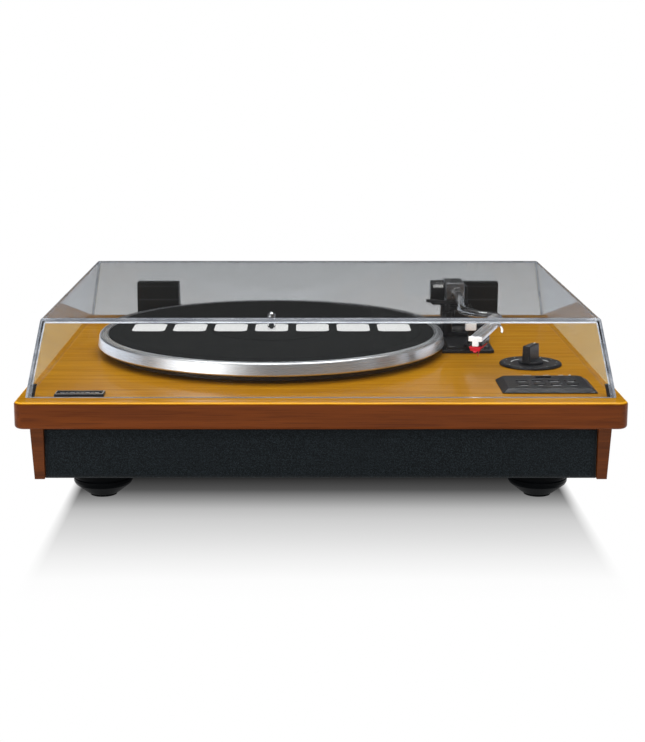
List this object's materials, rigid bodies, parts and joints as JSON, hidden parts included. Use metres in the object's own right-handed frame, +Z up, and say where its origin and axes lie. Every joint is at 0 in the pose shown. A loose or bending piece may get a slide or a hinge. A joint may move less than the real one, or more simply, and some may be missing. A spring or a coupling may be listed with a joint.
{
  "type": "turntable record player",
  "caption": "Belt-driven record player in a low wooden plinth with cloth grille, S-shaped tonearm, volume knob, button panel and clear hinged dust cover.",
  "frame": {"origin": "on the floor, below the middle of the plinth", "axes": "+X to the player's right (the tonearm's side), +Y to the hinged rear, +Z up"},
  "size_m": [0.45, 0.37, 0.1355],
  "materials": {
    "deck_wood": "honey veneer under satin lacquer",
    "cheek_wood": "brown stained, satin lacquer",
    "fibreboard": "raw fibreboard, painted dark",
    "grille_cloth": "fine woven speaker cloth",
    "steel": "plain",
    "paper_cone": "matt",
    "foot_rubber": "semi-gloss, moulded",
    "belt_rubber": "matt",
    "circuit_board": "lacquered board with parts",
    "black_plastic": "satin moulded",
    "grey_plastic": "fine-textured, satin",
    "platter_metal": "fine turned, satin",
    "chrome": "polished",
    "brass": "turned",
    "felt": "pressed felt",
    "red_plastic": "gloss moulded",
    "clear_acrylic": "clear, polished"
  },
  "bodies": {
    "base": {"plinth_board": "deck_wood", "left_cheek": "cheek_wood", "right_cheek": "cheek_wood", "front_baffle": "fibreboard", "grille_cloth": "grille_cloth", "rear_panel": "fibreboard", "bottom_board": "fibreboard", "speaker_basket_left": "steel", "speaker_cone_left": "paper_cone", "speaker_basket_right": "steel", "speaker_cone_right": "paper_cone", "foot_front_left": "foot_rubber", "foot_front_right": "foot_rubber", "foot_rear_left": "foot_rubber", "foot_rear_right": "foot_rubber", "circuit_board": "circuit_board", "phono_sockets": "black_plastic", "power_inlet": "black_plastic", "main_bearing": "steel", "motor_mount": "steel", "motor": "steel", "drive_belt": "belt_rubber", "tonearm_base": "black_plastic", "tonearm_pedestal": "black_plastic", "tonearm_rest": "chrome", "lift_housing": "black_plastic", "control_panel": "grey_plastic", "usb_socket": "steel", "knob_escutcheon": "grey_plastic", "badge": "black_plastic", "hinge_base_left": "black_plastic", "hinge_base_right": "black_plastic"},
    "platter": {"platter": "platter_metal", "platter_mat": "felt", "spindle": "chrome"},
    "pulley": {"motor_pulley": "brass"},
    "yoke": {"tonearm_yoke": "black_plastic"},
    "tonearm": {"tonearm_block": "platter_metal", "tonearm_tube": "chrome", "headshell": "chrome", "cartridge": "black_plastic", "stylus": "red_plastic", "counterweight": "black_plastic"},
    "lift": {"lift_bar": "brass"},
    "cue_lever": {"cue_lever": "black_plastic"},
    "volume_knob": {"volume_knob": "grey_plastic"},
    "speed_selector": {"speed_selector": "grey_plastic"},
    "cover": {"dust_cover": "clear_acrylic", "hinge_leaf_left": "black_plastic", "hinge_leaf_right": "black_plastic", "cover_bumper_left": "belt_rubber", "cover_bumper_right": "belt_rubber"},
    "source_button": {"source_button": "grey_plastic"},
    "record_button": {"record_button": "grey_plastic"},
    "play_button": {"play_button": "grey_plastic"},
    "stop_button": {"stop_button": "grey_plastic"},
    "previous_button": {"previous_button": "grey_plastic"},
    "next_button": {"next_button": "grey_plastic"},
    "repeat_button": {"repeat_button": "grey_plastic"},
    "delete_button": {"delete_button": "grey_plastic"}
  },
  "joints": [
    {"name": "cover_hinge", "type": "hinge", "parent": "base", "child": "cover", "pos_m": [0, 0.1818, 0.0845], "axis": [-1, 0, 0], "range_deg": [0, 62]},
    {"name": "platter_spin", "type": "hinge", "parent": "base", "child": "platter", "pos_m": [-0.0404, 0.02, 0.095], "axis": [0, 0, -1], "continuous": true},
    {"name": "pulley_spin", "type": "hinge", "parent": "base", "child": "pulley", "pos_m": [-0.11394, 0.09354, 0.085], "axis": [0, 0, -1], "continuous": true},
    {"name": "tonearm_swing", "type": "hinge", "parent": "base", "child": "yoke", "pos_m": [0.121, 0.085, 0.1165], "axis": [0, 0, -1], "range_deg": [0, 51]},
    {"name": "tonearm_raise", "type": "hinge", "parent": "yoke", "child": "tonearm", "pos_m": [0.121, 0.085, 0.1165], "axis": [-1, 0, 0], "range_deg": [0, 3.4]},
    {"name": "cue_lever_turn", "type": "hinge", "parent": "base", "child": "cue_lever", "pos_m": [0.1389, 0.055, 0.0911], "axis": [-1, 0, 0], "range_deg": [0, 60]},
    {"name": "lift_slide", "type": "slide", "parent": "base", "child": "lift", "axis": [0, 0, 1], "range_m": [0, 0.0019]},
    {"name": "volume_turn", "type": "hinge", "parent": "base", "child": "volume_knob", "pos_m": [0.1721, -0.0465, 0.09], "axis": [0, 0, -1], "range_deg": [-120, 150]},
    {"name": "speed_select", "type": "slide", "parent": "base", "child": "speed_selector", "axis": [0, 1, 0], "range_m": [0, 0.008]},
    {"name": "source_button_press", "type": "slide", "parent": "base", "child": "source_button", "axis": [0, 0, -1], "range_m": [0, 0.0008], "stiffness_N_per_m": 400, "springref_m": -0.0003},
    {"name": "record_button_press", "type": "slide", "parent": "base", "child": "record_button", "axis": [0, 0, -1], "range_m": [0, 0.0008], "stiffness_N_per_m": 400, "springref_m": -0.0003},
    {"name": "play_button_press", "type": "slide", "parent": "base", "child": "play_button", "axis": [0, 0, -1], "range_m": [0, 0.0008], "stiffness_N_per_m": 400, "springref_m": -0.0003},
    {"name": "stop_button_press", "type": "slide", "parent": "base", "child": "stop_button", "axis": [0, 0, -1], "range_m": [0, 0.0008], "stiffness_N_per_m": 400, "springref_m": -0.0003},
    {"name": "previous_button_press", "type": "slide", "parent": "base", "child": "previous_button", "axis": [0, 0, -1], "range_m": [0, 0.0008], "stiffness_N_per_m": 400, "springref_m": -0.0003},
    {"name": "next_button_press", "type": "slide", "parent": "base", "child": "next_button", "axis": [0, 0, -1], "range_m": [0, 0.0008], "stiffness_N_per_m": 400, "springref_m": -0.0003},
    {"name": "repeat_button_press", "type": "slide", "parent": "base", "child": "repeat_button", "axis": [0, 0, -1], "range_m": [0, 0.0008], "stiffness_N_per_m": 400, "springref_m": -0.0003},
    {"name": "delete_button_press", "type": "slide", "parent": "base", "child": "delete_button", "axis": [0, 0, -1], "range_m": [0, 0.0008], "stiffness_N_per_m": 400, "springref_m": -0.0003}
  ],
  "couplings": [
    {"joint": "pulley_spin", "follows": "platter_spin", "ratio": 13.607},
    {"joint": "cue_lever_turn", "follows": "lift_slide", "rad_per_m": 551.1},
    {"joint": "tonearm_raise", "follows": "lift_slide", "rad_per_m": 31.2}
  ]
}
